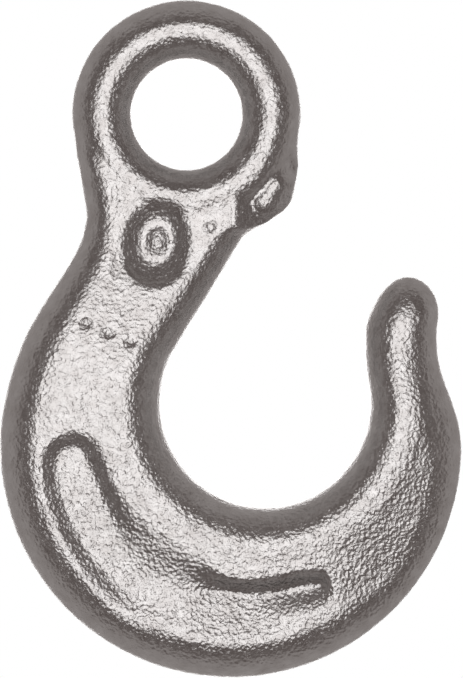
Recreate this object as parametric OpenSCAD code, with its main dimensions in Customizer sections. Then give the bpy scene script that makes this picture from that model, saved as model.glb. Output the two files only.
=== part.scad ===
// Drop-forged eye hook, one solid piece of steel.
// It lies in the XZ plane, and Y runs through its thickness.
// The origin is the centre of the eye's bore, and +Z points away from the bowl.

/* [Eye] */
// Diameter of the bore that a pin or a chain link goes through
eye_bore_d = 21; // [16:0.5:26]
// Diameter of the round section that the eye is made of
eye_wire_d = 11.4; // [9.4:0.1:13.8]
// Length of the trimmed cylindrical land in the middle of the bore
eye_land = 3; // [2:0.5:5]

/* [Bowl] */
// Diameter of the bowl that the load hangs in
bowl_d = 39.8; // [33:0.1:48]
// How far the bowl's centre is below the eye's centre
bowl_drop = 54.4; // [50:0.1:66]
// How far the bowl's centre is towards the tip from the eye's centre
bowl_side = 14.9; // [12:0.1:18]
// Width of the section behind the bowl
back_w = 29.5; // [24.5:0.1:35.5]
// Width of the section under the bowl
crown_w = 31.6; // [26:0.1:38]
// Width of the section in front of the bowl
front_w = 16.4; // [13.6:0.1:19.8]
// Thickness of the section round the bowl
bowl_t = 16.4; // [13.6:0.1:19.8]
// How much thinner the outer rim is than the saddle in front of the bowl
front_taper = 5; // [3:0.1:6]
// Rounding of the saddle's edges
saddle_edge = 7.4; // [6:0.1:9]
// Rounding of the outer rim's edges
rim_edge = 8.6; // [7:0.1:10.4]

/* [Shank] */
// Angle of the shank's throat side above the horizontal
shank_lean = 58.5; // [52:0.5:64]
// How far the neck's waist is below the eye's centre
neck_drop = 18.4; // [16:0.1:22.2]
// How far the back of the neck is behind the eye's centre
neck_back = 19; // [16.5:0.1:21.5]
// Thickness of the neck below the eye
neck_t = 11; // [9.2:0.1:11.2]
// Share of the back's curve that lies behind the bowl, before the shank
back_share = 0.58; // [0.5:0.01:0.66]

/* [Tip] */
// Width of the tip
tip_w = 13.6; // [11.4:0.1:16.4]
// Thickness of the tip
tip_t = 12.4; // [10.4:0.1:14.8]
// How far the top of the tip is above the bowl's centre
tip_rise = 23.8; // [19.8:0.1:28.6]
// How far the tip leans in over the bowl
tip_bow = 1; // [0:0.1:2]
// Height of the tip's rounded nose
nose_h = 9.8; // [8:0.1:11.8]
// How far the top of the nose turns outwards
nose_lean = 1.3; // [0:0.1:2]

/* [Lug] */
// Radius of the lug's corner
lug_r = 7.8; // [6.5:0.1:9.4]
// How far the lug's corner is from the eye's centre, sideways
lug_side = 12.8; // [10.6:0.1:14]
// How far the lug's corner is below the eye's centre
lug_drop = 12.9; // [10.8:0.1:15.4]
// Slope of the lug's underside above the horizontal
lug_slope = 30; // [25:1:36]

/* [Bowl panel] */
// Depth of the sunk panel on each face of the bowl
panel_depth = 1.6; // [0.8:0.1:2.2]
// Width of the panel's sloping wall
panel_wall = 3; // [2:0.1:4]
// Half the width of the panel in its middle
panel_half = 7; // [5.6:0.1:8.4]
// Angle round the bowl's centre where the panel begins
panel_from = 199; // [194:1:206]
// Angle round the bowl's centre where the panel ends
panel_to = 284; // [272:1:290]

/* [Medallion] */
// Width of the sunk medallion on each face of the neck
medallion_w = 11; // [9.2:0.1:13.2]
// How much taller than wide the medallion is
medallion_extra = 2.5; // [1:0.1:4]
// Depth of the medallion in its middle
medallion_depth = 0.8; // [0.4:0.1:1.1]
// How far the medallion's middle is below the neck's waist
medallion_below = 6; // [5:0.1:7.2]
// How far the medallion's middle is in from the back of the neck
medallion_in = 13.5; // [11.2:0.1:16.2]

/* [Hidden] */
steel = [0.44, 0.42, 0.41];

points_across = 28;   // steps from the throat side of a section to its back
ribs_per_key = 2;     // steps between two key sections
shank_steps = 4;      // key steps between the neck and the bowl, and behind the bowl
bowl_step = 7;        // degrees between two key sections under the bowl
tip_steps = 5;        // key steps between the bowl and the nose
nose_steps = 7;       // steps up the rounded nose
ring_fn = 96;
medallion_fn = 64;

function blend(a, b, t) = a + (b - a) * t;
function clamp(t) = max(0, min(1, t));
function ease(t) = clamp(t) ^ 2 * (3 - 2 * clamp(t));
function turn(angle) = [cos(angle), sin(angle)];

// ---- Eye ----
bore_r = eye_bore_d / 2;
wire_r = eye_wire_d / 2;
ring_mid_r = bore_r + sqrt(wire_r ^ 2 - (eye_land / 2) ^ 2);
ring_r = ring_mid_r + wire_r;

// ---- Bowl: the back is the circle through the ends of the three named widths ----
bowl_r = bowl_d / 2;
bowl_c = [bowl_side, -bowl_drop];
half_span = (front_w + bowl_d + back_w) / 2;
crown_reach = bowl_r + crown_w;
shift_x = (front_w - back_w) / 2;
shift_z = (half_span ^ 2 - shift_x ^ 2 - crown_reach ^ 2) / (2 * crown_reach);
back_r = norm([half_span, shift_z]);

// Distance from the bowl's centre to the back, in the direction of an angle
function reach(angle) =
    let (along = [shift_x, shift_z] * turn(angle))
    along + sqrt(back_r ^ 2 - shift_x ^ 2 - shift_z ^ 2 + along ^ 2);
function on_bowl(angle) = bowl_c + bowl_r * turn(angle);
function on_rim(angle) = bowl_c + reach(angle) * turn(angle);

// ---- Shank: its throat side leaves the bowl as a tangent ----
shank_angle = 90 + shank_lean;
throat_rise = -neck_drop - on_bowl(shank_angle)[1];
function on_throat(share) =
    on_bowl(shank_angle) + share * throat_rise * [1 / tan(shank_lean), 1];

// Its back is one S curve, from the rim behind the bowl (0) to the neck's waist (1)
waist = [-neck_back, -neck_drop];
back_rise = waist[1] - on_rim(180)[1];
rim_pull = 1.7;     // how far the curve follows the rim before it turns in
waist_pull = 0.95;  // how far it follows the neck
function on_back(v) =
    let (rim_share = 2 * v ^ 3 - 3 * v ^ 2 + 1)
    rim_share * on_rim(180) + (1 - rim_share) * waist
    + (v ^ 3 - 2 * v ^ 2 + v) * rim_pull * back_rise * [-shift_z / back_r, 1]
    + (v ^ 3 - v ^ 2) * waist_pull * back_rise * [0, 1];

// ---- Tip: its stem goes straight up from the front of the bowl ----
bowl_end = 348;     // angle of the last section that points at the bowl's centre
stem_in = bowl_side + bowl_r - tip_bow;
stem_out = stem_in + tip_w;
nose_base = tip_rise - nose_h;
bow_ends = 0.65 * nose_base;       // height where the inner side has leant in
stem_settles = 0.78 * nose_base;   // height where the outer side is straight
rim_end = on_rim(bowl_end) - bowl_c;
saddle_end = on_bowl(bowl_end) - bowl_c;
function stem_inner(h) = bowl_c + [
    h < 0 ? sqrt(bowl_r ^ 2 - h ^ 2) : bowl_r - tip_bow * ease(h / bow_ends), h];
function stem_outer(h) = bowl_c + [
    blend(rim_end[0], stem_out - bowl_side, ease((h - rim_end[1]) / (stem_settles - rim_end[1]))), h];

// ---- Lug: a rounded corner that the ring's outline runs into ----
lug_c = [lug_side, -lug_drop];
lug_flank = 8;      // angle on the corner where the ring's outline meets it
lug_bottom = lug_c + lug_r * turn(lug_slope - 90);
function on_lug(angle) = lug_c + lug_r * turn(angle);
// Where the lug's underside runs into the throat side of the shank
throat_dir = [1 / tan(shank_lean), 1];
under_dir = -turn(lug_slope);
throat_gap = on_bowl(shank_angle) - lug_bottom;
under_run = cross(throat_gap, throat_dir) / cross(under_dir, throat_dir);
lug_root = lug_bottom + under_run * under_dir;
root_share = (lug_root[1] - on_bowl(shank_angle)[1]) / throat_rise;

// ---- Sections ----
// Each is [throat x, z, back x, z, half thickness, taper, throat edge, back edge, sag]
saddle_half = bowl_t / 2;
neck_half = neck_t / 2;
tip_half = tip_t / 2;
round_share = 0.46;   // share of a round section's width that each edge takes

function rib(inner, outer, half_t, taper, inner_edge, outer_edge, sag = 0) =
    [inner[0], inner[1], outer[0], outer[1], half_t, taper, inner_edge, outer_edge, sag];

// The neck starts inside the eye's bar, and each rib hangs to its own depth under the bore
start_in = ring_mid_r * turn(-24);
start_out = ring_mid_r * turn(190);
start_share = 0.8;                 // share of the neck's thickness that it starts with
neck_in = ring_r * turn(-12);      // where the outlines leave the ring
neck_out = ring_r * turn(192.5);
lug_top_in = blend(neck_in, on_lug(lug_flank), 0.1);
waist_in = blend(lug_bottom, lug_root, 0.4);
waist_hang = 1.5;                  // how far the waist's section hangs below its ends
waist_depth = waist_hang - (waist_in[1] + waist[1]) / 2;
function neck_rib(share, inner, outer, half_t = neck_half, edge = wire_r) =
    rib(inner, outer, half_t, 0, edge, edge,
        blend(ring_mid_r, waist_depth, share) + (inner[1] + outer[1]) / 2);
neck_ribs = [
    neck_rib(0, start_in, start_out, start_share * neck_half, wire_r / 2),
    neck_rib(0.2, lug_top_in, neck_out),
    neck_rib(0.5, on_lug(-8), blend(neck_out, waist, 0.4)),
    neck_rib(0.75, on_lug(-40), blend(neck_out, waist, 0.72)),
    neck_rib(1, waist_in, waist),
];

// Down the shank from the waist (0) to the back of the bowl (1)
function shank_half(down) = blend(neck_half, saddle_half, ease(down));
function shank_rib(down, inner, outer) =
    rib(inner, outer, shank_half(down), 0,
        blend(wire_r, saddle_edge, down), blend(wire_r, rim_edge, down));

shank_down = 0.5;   // share of the way down that the shank takes, before the back of the bowl
last_step = 0.86;   // share of the shank's back that its last section reaches
function shank_in(share) = on_throat(share * root_share);
function shank_out(share) = on_back(blend(back_share, 1, last_step * share));
shank_ribs = [
    for (step = [0 : shank_steps - 1])
        let (share = 1 - step / shank_steps)
        shank_rib(shank_down * (1 - share), shank_in(share), shank_out(share))
];
back_ribs = [
    for (step = [0 : shank_steps - 1])
        let (share = 1 - step / shank_steps)
        shank_rib(blend(1, shank_down, share), on_bowl(blend(180, shank_angle, share)),
            on_back(back_share * share))
];

taper_from = 245;   // angles between which the rim thins to its front thickness
taper_to = 315;
crown_ribs = [
    for (angle = [180 : bowl_step : bowl_end])
        rib(on_bowl(angle), on_rim(angle), saddle_half,
            front_taper / 2 * ease((angle - taper_from) / (taper_to - taper_from)),
            saddle_edge, rim_edge)
];

tip_ribs = [
    for (step = [1 : tip_steps])
        let (share = step / tip_steps,
             inner = stem_inner(blend(saddle_end[1], nose_base, share)),
             outer = stem_outer(blend(rim_end[1], nose_base, share)))
        rib(inner, outer, blend(saddle_half, tip_half, ease(share)),
            front_taper / 2 * (1 - share),
            blend(saddle_edge, round_share * tip_w, share),
            blend(rim_edge, round_share * tip_w, share))
];

nose_ribs = [
    for (step = [1 : nose_steps - 1])
        let (angle = 90 * step / nose_steps,
             middle = (stem_in + stem_out) / 2 + nose_lean * (1 - (1 - sin(angle)) ^ 2),
             half_w = tip_w / 2 * cos(angle),
             z = bowl_c[1] + nose_base + nose_h * sin(angle),
             edge = 2 * round_share * half_w)
        rib([middle - half_w, z], [middle + half_w, z], tip_half * cos(angle), 0, edge, edge)
];
nose_top = [(stem_in + stem_out) / 2 + nose_lean, 0, bowl_c[1] + tip_rise];

// Key sections are joined by a smooth curve through them
keys = concat(neck_ribs, shank_ribs, back_ribs, crown_ribs, tip_ribs);
function key(i) = keys[max(0, min(len(keys) - 1, i))];
function smooth(a, b, c, d, t) =
    0.5 * (2 * b + (c - a) * t + (2 * a - 5 * b + 4 * c - d) * t ^ 2
        + (3 * b - a - 3 * c + d) * t ^ 3);
ribs = concat(
    [for (i = [0 : len(keys) - 2], step = [0 : ribs_per_key - 1])
        smooth(key(i - 1), key(i), key(i + 1), key(i + 2), step / ribs_per_key)],
    [key(len(keys) - 1)],
    nose_ribs
);

// ---- Sunk panel: a bent capsule round the bowl's centre, drawn in to both ends ----
panel_out = 0.6;        // share of the section's width that the panel's middle is out
panel_start_out = 0.5;  // the same share where the panel begins
panel_settles = 80;     // degrees that the change takes
end_share = 0.62;       // share of the panel's half width left at its ends
function panel_mid(angle) =
    blend(bowl_r, reach(angle), blend(panel_out, panel_start_out,
        (1 - clamp((angle - panel_from) / panel_settles)) ^ 3));
function panel_half_at(angle) =
    panel_half * blend(end_share, 1,
        sin(180 * clamp((angle - panel_from) / (panel_to - panel_from))));
function panel_sunk(point) =
    let (from_c = point - bowl_c,
         angle = (atan2(from_c[1], from_c[0]) + 360) % 360,
         nearest = max(panel_from, min(panel_to, angle)),
         off = norm(from_c - panel_mid(nearest) * turn(nearest)))
    panel_depth * ease((panel_half_at(nearest) - off) / panel_wall);

// ---- Outline of a section, from its throat side to its back and round again ----
edge_limit = 0.49;      // most of a section's width that one rounded edge may take
function rounded(s, edge) = sqrt(1 - (1 - min(s, edge) / edge) ^ 2);
function half_thickness(r, s, width) =
    (r[4] - r[5] * s / width)
    * rounded(s, min(r[6], edge_limit * width))
    * rounded(width - s, min(r[7], edge_limit * width));
function face_point(r, j, side) =
    let (inner = [r[0], r[1]], outer = [r[2], r[3]],
         width = norm(outer - inner),
         s = width * (1 - cos(180 * j / points_across)) / 2,
         hang = 4 * r[8] * s / width * (1 - s / width),
         at = blend(inner, outer, s / width) - [0, hang])
    [at[0], side * (half_thickness(r, s, width) - panel_sunk(at)), at[1]];
function section(r) = concat(
    [for (j = [0 : points_across]) face_point(r, j, -1)],
    [for (j = [points_across - 1 : -1 : 1]) face_point(r, j, 1)]
);

around = 2 * points_across;
last = len(ribs) - 1;
module body() {
    points = concat([for (r = ribs) each section(r)], [nose_top]);
    // The start is curved, so it is a strip from one face of the section to the other
    start = concat(
        [for (j = [1 : points_across - 1]) [j, j + 1, around - j]],
        [for (j = [0 : points_across - 2]) [j + 1, around - j - 1, (around - j) % around]]
    );
    sides = [
        for (i = [0 : last - 1], j = [0 : around - 1])
            let (a = i * around + j, b = i * around + (j + 1) % around)
            each [[a, b + around, b], [a, a + around, b + around]]
    ];
    nose = [
        for (j = [0 : around - 1])
            [last * around + (j + 1) % around, last * around + j, len(points) - 1]
    ];
    polyhedron(points, concat(start, sides, nose));
}

// ---- Eye ring: a round bar bent to a ring, with the bore's land trimmed flat ----
module eye_ring() {
    rotate([90, 0, 0])
        rotate_extrude($fn = ring_fn)
            intersection() {
                translate([ring_mid_r, 0]) circle(r = wire_r, $fn = ring_fn);
                translate([bore_r, -wire_r]) square([2 * wire_r, 2 * wire_r]);
            }
}

// ---- Medallion: two overlapping dishes in each face of the neck ----
dish_r = (medallion_w ^ 2 / 4 + medallion_depth ^ 2) / (2 * medallion_depth);
medallion_c = waist + [medallion_in, -medallion_below];
medallion_y = neck_half - medallion_depth + dish_r;

module medallions() {
    for (side = [-1, 1], end = [-1, 1])
        translate([medallion_c[0], side * medallion_y, medallion_c[1] + end * medallion_extra / 2])
            sphere(r = dish_r, $fn = medallion_fn);
}

module hook_forging() {
    color(steel) {
        difference() {
            body();
            medallions();
        }
        eye_ring();
    }
}

hook_forging();
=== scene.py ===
import math

import bpy
import numpy as np
from mathutils import Matrix, Vector, noise


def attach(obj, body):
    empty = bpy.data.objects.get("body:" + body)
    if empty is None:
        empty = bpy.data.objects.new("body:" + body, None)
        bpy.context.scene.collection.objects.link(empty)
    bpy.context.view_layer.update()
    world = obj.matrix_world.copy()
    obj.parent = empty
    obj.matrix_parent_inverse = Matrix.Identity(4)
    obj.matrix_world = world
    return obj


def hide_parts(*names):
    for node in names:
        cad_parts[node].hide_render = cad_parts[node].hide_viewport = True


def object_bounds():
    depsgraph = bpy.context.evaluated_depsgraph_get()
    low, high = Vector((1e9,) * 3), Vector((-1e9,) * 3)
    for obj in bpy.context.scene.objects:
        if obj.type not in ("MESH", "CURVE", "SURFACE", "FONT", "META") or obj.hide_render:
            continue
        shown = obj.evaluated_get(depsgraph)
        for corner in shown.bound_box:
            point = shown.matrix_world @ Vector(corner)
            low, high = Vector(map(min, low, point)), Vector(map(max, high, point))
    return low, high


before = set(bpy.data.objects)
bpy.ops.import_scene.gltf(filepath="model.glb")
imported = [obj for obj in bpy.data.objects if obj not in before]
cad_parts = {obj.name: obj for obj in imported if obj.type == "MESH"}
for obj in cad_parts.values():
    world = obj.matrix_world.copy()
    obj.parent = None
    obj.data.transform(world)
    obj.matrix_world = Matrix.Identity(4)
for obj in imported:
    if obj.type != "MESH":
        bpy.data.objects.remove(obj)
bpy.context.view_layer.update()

MM = 0.001                  # the mesh work is in millimetres, Blender in metres
NODE = "hook_forging"


# ---- Helpers ----
def blend(a, b, t):
    return a + (b - a) * t


def ease(t):
    """0 below 0, 1 above 1, and a smooth step between them."""
    t = np.clip(t, 0.0, 1.0)
    return t * t * (3.0 - 2.0 * t)


def near(distance, half_width):
    """1 at no distance, falling smoothly to 0 at half_width."""
    return ease(1.0 - np.abs(distance) / half_width)


def by_angle(angle, pairs):
    """A value that runs straight from one (angle, value) pair to the next."""
    angles, values = zip(*pairs)
    return np.interp(angle, angles, values)


def off_line(x, z, start, end):
    """Distance from the stretch between two points."""
    (ax, az), (bx, bz) = start, end
    run = ((x - ax) * (bx - ax) + (z - az) * (bz - az)) / ((bx - ax) ** 2 + (bz - az) ** 2)
    run = np.clip(run, 0, 1)
    return np.hypot(x - ax - run * (bx - ax), z - az - run * (bz - az))


def link(name, data):
    made = bpy.data.objects.new(name, data)
    bpy.context.scene.collection.objects.link(made)
    return made


# ---- Sizes of the hook in millimetres, and places from the centre of its bore ----
BOWL_X, BOWL_Z = 14.9, -54.4        # centre of the bowl that the load hangs in
BOWL_R = 19.9
CROWN_W = 31.6                      # width of the section under the bowl
BACK_W = 29.5                       # and of the one behind it
FRONT_W = 16.4                      # and of the one in front of it
SADDLE_HALF = 8.2                   # half the thickness of the bowl's sections
SADDLE_EDGE = 7.4                   # rounding on the bowl's side
RIM_EDGE = 8.6                      # rounding on the outer side
RIM_TAPER = 2.5                     # taken off the half thickness at the front rim
TAPER_FROM, TAPER_SPAN = 245.0, 70.0
RING_R = 16.0                       # middle of the eye's bar
BAR_R = 5.7
NECK_HALF = 5.55

# The back is the circle through the ends of the three widths round the bowl
half_span = (FRONT_W + 2 * BOWL_R + BACK_W) / 2
crown_reach = BOWL_R + CROWN_W
SHIFT_X = (FRONT_W - BACK_W) / 2
SHIFT_Z = (half_span ** 2 - SHIFT_X ** 2 - crown_reach ** 2) / (2 * crown_reach)
BACK_R = math.hypot(half_span, SHIFT_Z)


def round_bowl(x, z):
    """Distance and angle round the bowl's centre; the angle runs from 90 to 450 degrees."""
    angle = (np.degrees(np.arctan2(z - BOWL_Z, x - BOWL_X)) - 90.0) % 360.0 + 90.0
    return np.hypot(x - BOWL_X, z - BOWL_Z), angle


def reach(angle):
    """Distance from the bowl's centre to the hook's back, in the direction of an angle."""
    rad = np.radians(angle)
    along = SHIFT_X * np.cos(rad) + SHIFT_Z * np.sin(rad)
    return along + np.sqrt(BACK_R ** 2 - SHIFT_X ** 2 - SHIFT_Z ** 2 + along ** 2)


# ---- The plain face of the bowl, as it is without the CAD panel ----
FILL_INNER = 25.0                   # the filling starts this far from the bowl's centre
FILL_RIM = 5.0                      # and ends this far in from the rim
FILL_FADE = 2.0
FILL_FROM, FILL_IN = 181.0, 6.0     # the angle where it starts, and over which it comes in
FILL_TO, FILL_OUT = 345.0, 10.0


def rounded(s, edge):
    """Share of the full thickness, at a distance from an edge rounded over a width."""
    return np.sqrt(np.clip(1 - (1 - np.clip(s, 0, edge) / edge) ** 2, 0, 1))


def bowl_face(r, angle):
    """Half the thickness of the bowl, by distance and angle round the bowl's centre."""
    width = reach(angle) - BOWL_R
    s = np.clip(r - BOWL_R, 0, width)
    taper = RIM_TAPER * ease((angle - TAPER_FROM) / TAPER_SPAN)
    return (SADDLE_HALF - taper * s / width) * rounded(s, SADDLE_EDGE) * rounded(width - s, RIM_EDGE)


def panel_filled(x, z, half):
    """The half thickness with the CAD panel filled in, up to where the bowl's sections end."""
    r, angle = round_bowl(x, z)
    inside = ease((r - FILL_INNER) / FILL_FADE) * ease((reach(angle) - FILL_RIM - r) / FILL_FADE)
    inside *= ease((angle - FILL_FROM) / FILL_IN) * ease((FILL_TO - angle) / FILL_OUT)
    return blend(half, bowl_face(r, angle), inside)


# ---- Mesh work ----
VOXEL = 0.46
SMOOTH_STEPS = 60
SHRINK, GROW = 0.5, -0.51


def working_mesh(node):
    """The node's shape in millimetres, as an even grid of small quads."""
    coarse = node.data.copy()
    coarse.transform(Matrix.Scale(1 / MM, 4))
    shape = link("working_shape", coarse)
    remesh = shape.modifiers.new("even_grid", "REMESH")
    remesh.mode = "VOXEL"
    remesh.voxel_size = VOXEL
    graph = bpy.context.evaluated_depsgraph_get()
    fine = bpy.data.meshes.new_from_object(shape.evaluated_get(graph))
    bpy.data.objects.remove(shape)
    return fine


def points_of(mesh):
    points = np.empty(len(mesh.vertices) * 3)
    mesh.vertices.foreach_get("co", points)
    return points.reshape(-1, 3)


def neighbour_mean(mesh):
    """A function that gives each point the mean of its neighbours."""
    ends = np.empty(len(mesh.edges) * 2, np.int64)
    mesh.edges.foreach_get("vertices", ends)
    a, b = ends.reshape(-1, 2).T
    count = len(mesh.vertices)
    degree = np.bincount(a, minlength=count) + np.bincount(b, minlength=count)

    def mean(values):
        total = [np.bincount(a, values[b, k], count) + np.bincount(b, values[a, k], count)
                 for k in range(values.shape[1])]
        return np.stack(total, axis=1) / degree[:, None]

    return mean


def smoothed(points, mean, steps):
    """Takes out small facets and keeps the size: each smoothing step is followed by one back."""
    for _ in range(steps):
        points = points + SHRINK * (mean(points) - points)
        points = points + GROW * (mean(points) - points)
    return points


def put_points(mesh, points):
    mesh.vertices.foreach_set("co", points.astype(np.float32).ravel())
    mesh.update()


def normals_of(mesh):
    normals = np.empty(len(mesh.vertices) * 3)
    mesh.vertices.foreach_get("normal", normals)
    return normals.reshape(-1, 3)


# ---- Relief: how deep each face is sunk, in millimetres ----
# The bowl's sunk panel, by angle: how far out its walls are, how wide they are, and its depth
PANEL_INNER = [(190, 33.8), (203, 33.4), (213, 33.8), (222, 34.4), (240, 34.8), (255, 34.8),
               (265, 34.6), (272, 34.2), (280, 33.6), (287, 34.2)]
PANEL_OUTER = [(190, 41.6), (202, 43.3), (210, 44.1), (220, 44.8), (228, 45.5), (236, 46.2),
               (245, 46.5), (255, 46.3), (265, 45.6), (275, 44.4), (285, 42.2), (292, 40.0)]
INNER_WALL = [(208, 4.0), (220, 5.4), (232, 10.0), (246, 9.0), (256, 3.6), (280, 3.8)]
OUTER_WALL = [(218, 4.2), (236, 6.5), (250, 11.0)]
TROUGH_DEPTH = 1.35
ROUND_END = 196.5                   # the angle where the trough's round end begins
RAMP_DEPTH = [(235, 1.4), (255, 2.4), (285, 2.5)]
RAMP_FROM, RAMP_SPAN = 232.0, 22.0  # the trough turns into the ramp over these angles
THIN_SHARE = 0.9                    # the ramp's outer part fades by this share near its end
THIN_R, THIN_WIDE = 36.0, 5.0
THIN_FROM, THIN_SPAN = 264.0, 22.0
PANEL_END, END_SPAN = 288.5, 4.0


def panel(x, z):
    """The bowl's sunk panel: a trough with a round end, then a ramp that rises outwards."""
    r, angle = round_bowl(x, z)
    inner = by_angle(angle, PANEL_INNER)
    outer = by_angle(angle, PANEL_OUTER)
    inner_wall = by_angle(angle, INNER_WALL)
    centre = (inner + outer) / 2
    half = (outer - inner) / 2
    past = np.clip(ROUND_END - angle, 0, None) * np.radians(1) * r
    off = np.hypot(past, r - centre)
    wall = np.where(r > centre, by_angle(angle, OUTER_WALL), inner_wall)
    trough = TROUGH_DEPTH * ease((half - off) / wall + 0.5)
    rise = np.clip((outer - r) / (outer - inner), 0, 1)
    ramp = by_angle(angle, RAMP_DEPTH) * rise * ease((r - inner) / inner_wall + 0.5)
    thin = THIN_SHARE * ease((r - THIN_R) / THIN_WIDE) * ease((angle - THIN_FROM) / THIN_SPAN)
    ramp *= 1.0 - thin
    sunk = blend(trough, ramp, ease((angle - RAMP_FROM) / RAMP_SPAN))
    return sunk * ease((PANEL_END - angle) / END_SPAN + 0.5)


# How wide the rim's edge is rounded, by angle: least at the lower front
RIM_EDGES = [(160, 8.6), (175, 8.0), (225, 8.0), (245, 8.6),
             (285, 7.6), (305, 6.2), (338, 6.2), (350, 8.6)]
FRONT_SLOPE = 0.17                  # share of the thickness lost across the front's slope
SLOPE_R, SLOPE_WIDE = 29.0, 10.0
SLOPE_FROM, SLOPE_IN = 286.0, 22.0
SLOPE_TO, SLOPE_OUT = 372.0, 14.0
LEAST_TO_RIM = 0.05


def thinned(x, z):
    """The share of the thickness left by the front's slope and the rim's changing edge."""
    r, angle = round_bowl(x, z)
    along = ease((angle - SLOPE_FROM) / SLOPE_IN) * ease((SLOPE_TO - angle) / SLOPE_OUT)
    slope = 1.0 - FRONT_SLOPE * along * np.clip((r - SLOPE_R) / SLOPE_WIDE, 0, 1)
    to_rim = np.clip(reach(angle) - r, LEAST_TO_RIM, None)
    return slope * rounded(to_rim, by_angle(angle, RIM_EDGES)) / rounded(to_rim, RIM_EDGE)


MEDAL_X, MEDAL_Z = -5.5, -24.15
MEDAL_WIDE, MEDAL_TALL = 4.7, 6.2   # half its width and half its height
MEDAL_LEAN = 0.06
MEDAL_DEPTH, MEDAL_WALL = 1.45, 0.95
MEDAL_FILL, MEDAL_FADE = 1.6, 0.2   # the CAD dish is filled in out to this share
BOSS_HEIGHT, BOSS_SHARE = 0.7, 0.62


def off_medallion(x, z):
    """Distance from the medallion's middle, as a share of its half width or half height."""
    across = x - MEDAL_X - MEDAL_LEAN * (z - MEDAL_Z)
    return np.hypot(across / MEDAL_WIDE, (z - MEDAL_Z) / MEDAL_TALL)


def medallion_filled(x, z, half):
    """The half thickness with the CAD dish filled in."""
    inside = ease((MEDAL_FILL - off_medallion(x, z)) / MEDAL_FADE)
    return blend(half, np.maximum(half, NECK_HALF), inside)


def medallion(x, z):
    """The oval dish on the neck, with a plain oval boss on its floor."""
    off = off_medallion(x, z)
    return MEDAL_DEPTH * ease((1.0 - off) / MEDAL_WALL + 0.5) - BOSS_HEIGHT * near(off, BOSS_SHARE)


DIMPLES = [(4.6, -21.4), (-18.8, -39.4), (-14.6, -41.3), (-10.4, -43.1)]
DIMPLE_DEPTH, DIMPLE_R = 0.4, 1.6


def dimples(x, z):
    """Plain round punch marks, worn shallow."""
    deep = np.zeros(len(x))
    for dimple_x, dimple_z in DIMPLES:
        off = np.hypot(x - dimple_x, z - dimple_z)
        deep = np.maximum(deep, DIMPLE_DEPTH * near(off, DIMPLE_R))
    return deep


RIDGE = [(-15.7, 0.0), (-11.3, -15.9), (-15.5, -27.0)]      # the crest behind the web
RIDGE_WIDE = 3.2
WEB_DEPTH = 0.3
WEB_FROM_BAR, WEB_BAR_SPAN = 0.6, 3.0       # outwards from the middle of the eye's bar
WEB_BACK, WEB_FRONT, WEB_FRONT_SPAN = -14.0, 10.0, 2.0
WEB_FOOT, WEB_FOOT_SPAN = -34.0, 8.0


def web(x, z):
    """The neck's face below the bore, a little lower than the bar and the ridge behind it."""
    upper, bend, lower = RIDGE
    off_ridge = np.minimum(off_line(x, z, upper, bend), off_line(x, z, bend, lower))
    off_bar = np.hypot(x, z) - RING_R - WEB_FROM_BAR
    inside = ease(off_ridge / RIDGE_WIDE) * ease(off_bar / WEB_BAR_SPAN)
    inside *= ease((WEB_FRONT - x) / WEB_FRONT_SPAN) * (x > WEB_BACK)
    return WEB_DEPTH * inside * ease((z - WEB_FOOT) / WEB_FOOT_SPAN)


LUG_CREST = ((14.5, -16.5), (16.5, -13.3))
DOME_TOP, DOME_FALL = 4.3, 0.15             # half thickness at the crest, and its fall per mm2
FALL_TOP, FALL_START, FALL_RATE = 5.6, 8.9, 0.55    # the web's slope down to the lug, along X
LEAST_HALF, LEAST_FOOT, LEAST_SPAN = 3.0, -11.0, 4.0    # kept where the lug meets the eye
LUG_BACK, LUG_FOOT = 8.5, -24.0
LUG_HEAD, LUG_HEAD_SPAN = -3.0, 5.0


def lug_top(x, z, half):
    """The lug is a low dome outside the eye's bar, and the web slopes down to it."""
    off_bar = np.hypot(x, z) - RING_R
    bar = np.sqrt(np.clip(BAR_R ** 2 - off_bar ** 2, 0, None))
    dome = DOME_TOP - DOME_FALL * off_line(x, z, *LUG_CREST) ** 2
    slope = FALL_TOP - FALL_RATE * np.clip(x - FALL_START, 0, None)
    least = LEAST_HALF * ease((z - LEAST_FOOT) / LEAST_SPAN)
    limit = np.maximum.reduce([bar, dome, slope, least])
    here = (x > LUG_BACK) & (z > LUG_FOOT) & (off_bar > 0)
    return blend(half, np.minimum(half, limit), here * ease((LUG_HEAD - z) / LUG_HEAD_SPAN))


# ---- The forging: the CAD shape without its facets, with the relief added ----
MOST_SUNK = 0.5             # the relief takes at most this share of the half thickness
FINISH_STEPS = 4
CREASES = [(-21.0, -6.0), (21.5, -6.5)]     # where the eye's bar runs into the neck
CREASE_R, CREASE_STEPS, CREASE_PULL = 7.0, 40, 0.6

mesh = working_mesh(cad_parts[NODE])
mean = neighbour_mean(mesh)
points = smoothed(points_of(mesh), mean, SMOOTH_STEPS)
x, z = points[:, 0], points[:, 2]
side = np.sign(points[:, 1])
half = medallion_filled(x, z, panel_filled(x, z, np.abs(points[:, 1])))
half = lug_top(x, z, half * thinned(x, z))
sunk = panel(x, z) + medallion(x, z) + dimples(x, z) + web(x, z)
points[:, 1] = side * (half - np.minimum(sunk, MOST_SUNK * half))
points = smoothed(points, mean, FINISH_STEPS)
for crease_x, crease_z in CREASES:
    share = near(np.hypot(points[:, 0] - crease_x, points[:, 2] - crease_z), CREASE_R)[:, None]
    for _ in range(CREASE_STEPS):
        points = points + CREASE_PULL * share * (mean(points) - points)
put_points(mesh, points)

# ---- The uneven forged skin: three sizes of noise ----
SKIN = [(0.06, 7.0), (0.03, 2.4), (0.03, 1.0)]      # the height and the size of each


def skin(points, size, seed):
    offset = Vector((seed * 17.3, seed * 7.1, seed * 3.7))
    return np.array([noise.noise(Vector(p) / size + offset) for p in points])


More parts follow.
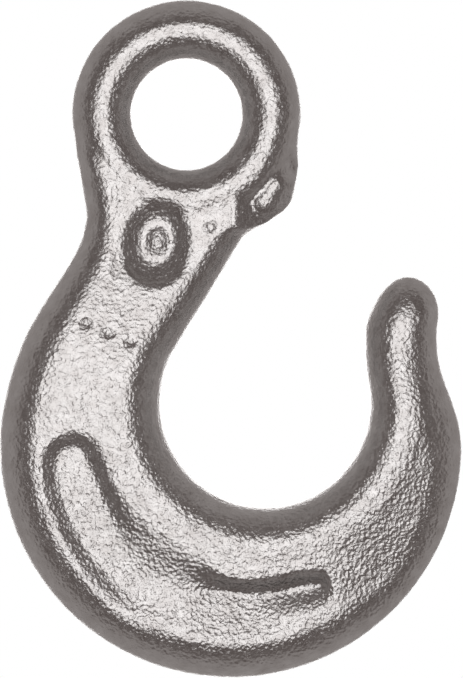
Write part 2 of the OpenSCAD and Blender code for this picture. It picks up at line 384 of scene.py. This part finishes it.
rough = sum(height * skin(points, size, seed) for seed, (height, size) in enumerate(SKIN, 1))
points = points + normals_of(mesh) * rough[:, None]
put_points(mesh, points)

mesh.transform(Matrix.Scale(MM, 4))
mesh.shade_smooth()
mesh.name = "forged_hook"
hook = link("forged_hook", mesh)
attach(hook, "root")
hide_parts(NODE)

# ---- Material ----
DARK_STEEL = (0.31, 0.297, 0.292, 1)
LIGHT_STEEL = (0.38, 0.371, 0.368, 1)
SMOOTHEST, ROUGHEST = 0.28, 0.4
CELL = 0.8 * MM
# The grain is shallower on the eye and the upper shank than on the worn bottom of the bowl
GRAIN_TOP, GRAIN_BOTTOM = -30 * MM, -75 * MM
SHALLOW_GRAIN, DEEP_GRAIN = 0.09 * MM, 0.125 * MM


def forged_steel():
    material = bpy.data.materials.new("forged_steel")
    material.use_nodes = True
    nodes = material.node_tree.nodes
    links = material.node_tree.links
    shader = nodes["Principled BSDF"]
    shader.inputs["Metallic"].default_value = 1.0
    place = nodes.new("ShaderNodeTexCoord").outputs["Object"]

    def noise_texture(size, detail):
        texture = nodes.new("ShaderNodeTexNoise")
        texture.inputs["Scale"].default_value = 1 / (size * MM)
        texture.inputs["Detail"].default_value = detail
        links.new(place, texture.inputs["Vector"])
        return texture.outputs["Fac"]

    tone = nodes.new("ShaderNodeValToRGB")
    tone.color_ramp.elements[0].position = 0.3
    tone.color_ramp.elements[0].color = DARK_STEEL
    tone.color_ramp.elements[1].position = 0.7
    tone.color_ramp.elements[1].color = LIGHT_STEEL
    links.new(noise_texture(size=2.5, detail=3.0), tone.inputs["Fac"])
    links.new(tone.outputs["Color"], shader.inputs["Base Color"])

    gloss = nodes.new("ShaderNodeMapRange")
    gloss.inputs["To Min"].default_value = SMOOTHEST
    gloss.inputs["To Max"].default_value = ROUGHEST
    links.new(noise_texture(size=1.2, detail=2.0), gloss.inputs["Value"])
    links.new(gloss.outputs["Result"], shader.inputs["Roughness"])

    cells = nodes.new("ShaderNodeTexVoronoi")
    cells.feature = "SMOOTH_F1"
    cells.inputs["Scale"].default_value = 1 / CELL
    cells.inputs["Smoothness"].default_value = 0.5
    links.new(place, cells.inputs["Vector"])
    height = nodes.new("ShaderNodeMath")
    height.operation = "ADD"
    links.new(cells.outputs["Distance"], height.inputs[0])
    links.new(noise_texture(size=0.5, detail=1.0), height.inputs[1])
    split = nodes.new("ShaderNodeSeparateXYZ")
    links.new(place, split.inputs["Vector"])
    deepness = nodes.new("ShaderNodeMapRange")
    deepness.inputs["From Min"].default_value = GRAIN_TOP
    deepness.inputs["From Max"].default_value = GRAIN_BOTTOM
    deepness.inputs["To Min"].default_value = SHALLOW_GRAIN
    deepness.inputs["To Max"].default_value = DEEP_GRAIN
    links.new(split.outputs["Z"], deepness.inputs["Value"])
    grain = nodes.new("ShaderNodeBump")
    grain.inputs["Strength"].default_value = 1.0
    links.new(deepness.outputs["Result"], grain.inputs["Distance"])
    links.new(height.outputs["Value"], grain.inputs["Height"])
    links.new(grain.outputs["Normal"], shader.inputs["Normal"])
    return material


hook.data.materials.clear()
hook.data.materials.append(forged_steel())

# ---- Floor ----
low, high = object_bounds()
middle = (Vector(low) + Vector(high)) / 2

FLOOR_DROP = 0.3            # metres below the middle of the hook
FLOOR_HALF = 2.2
SQUARE = ((-1, -1), (1, -1), (1, 1), (-1, 1))


def pale_floor():
    material = bpy.data.materials.new("pale_floor")
    material.use_nodes = True
    shader = material.node_tree.nodes["Principled BSDF"]
    shader.inputs["Base Color"].default_value = (0.8, 0.8, 0.8, 1)
    shader.inputs["Roughness"].default_value = 0.9
    shader.inputs["Emission Color"].default_value = (1, 1, 1, 1)
    shader.inputs["Emission Strength"].default_value = 0.45
    return material


floor_mesh = bpy.data.meshes.new("floor")
corners = [(x * FLOOR_HALF, y * FLOOR_HALF, middle.z - FLOOR_DROP) for x, y in SQUARE]
floor_mesh.from_pydata(corners, [], [(0, 1, 2, 3)])
floor_mesh.materials.append(pale_floor())
floor = link("floor", floor_mesh)
floor.visible_glossy = False

# ---- Light ----
SOFTBOX_SIZE = 0.84
SOFTBOX_AWAY = 0.9
SOFTBOX_POWER = 5.3


def disk_light(name, y):
    """A round soft light that faces the hook along Y."""
    data = bpy.data.lights.new(name, "AREA")
    data.shape = "DISK"
    data.size = SOFTBOX_SIZE
    data.energy = SOFTBOX_POWER
    light = link(name, data)
    light.location = (middle.x, y, middle.z)
    light.rotation_euler = (math.radians(90 if y < 0 else -90), 0, 0)
    light.visible_camera = False


disk_light("front_softbox", -SOFTBOX_AWAY)
disk_light("rear_softbox", SOFTBOX_AWAY)

# ---- World: white to the camera; in the steel, a dark room with a pale sweep ----
DARK_ROOM = (0.185, 0.148, 0.138, 1)
PALE_SWEEP = (0.63, 0.585, 0.57, 1)
WHITE = (1, 1, 1, 1)
SWEEP_FROM, SWEEP_TO = -0.5, -0.28  # Y of the direction: dark up to the first, pale past the second

world = bpy.data.worlds.new("studio")
bpy.context.scene.world = world
world.use_nodes = True
wn = world.node_tree.nodes
wl = world.node_tree.links


def world_mix(share, first, second):
    """Mixes two colours, each a node's output or a value, by a share."""
    mix = wn.new("ShaderNodeMixRGB")
    wl.new(share, mix.inputs["Fac"])
    for value, socket in ((first, mix.inputs["Color1"]), (second, mix.inputs["Color2"])):
        if isinstance(value, tuple):
            socket.default_value = value
        else:
            wl.new(value, socket)
    return mix.outputs["Color"]


direction = wn.new("ShaderNodeSeparateXYZ")
wl.new(wn.new("ShaderNodeTexCoord").outputs["Generated"], direction.inputs["Vector"])
sweep = wn.new("ShaderNodeMapRange")
sweep.interpolation_type = "SMOOTHSTEP"
sweep.inputs["From Min"].default_value = SWEEP_FROM
sweep.inputs["From Max"].default_value = SWEEP_TO
wl.new(direction.outputs["Y"], sweep.inputs["Value"])
seen_in_steel = world_mix(sweep.outputs["Result"], DARK_ROOM, PALE_SWEEP)
is_camera = wn.new("ShaderNodeLightPath").outputs["Is Camera Ray"]
wl.new(world_mix(is_camera, seen_in_steel, WHITE), wn["Background"].inputs["Color"])

# ---- Camera ----
LENS = 200.0
SENSOR = 36.0
PHOTO_HEIGHT = 128.3 * MM               # what the view takes in, at the hook
AIM = Vector((0.12, 0, -0.07)) * MM     # from the middle of the hook to the middle of the view

camera_data = bpy.data.cameras.new("camera")
camera_data.lens = LENS
camera_data.sensor_width = SENSOR
camera = link("camera", camera_data)
camera.location = middle + AIM - Vector((0, PHOTO_HEIGHT * LENS / SENSOR, 0))
camera.rotation_euler = (math.radians(90), 0, 0)
bpy.context.scene.camera = camera
bpy.context.scene.view_settings.view_transform = "Standard"
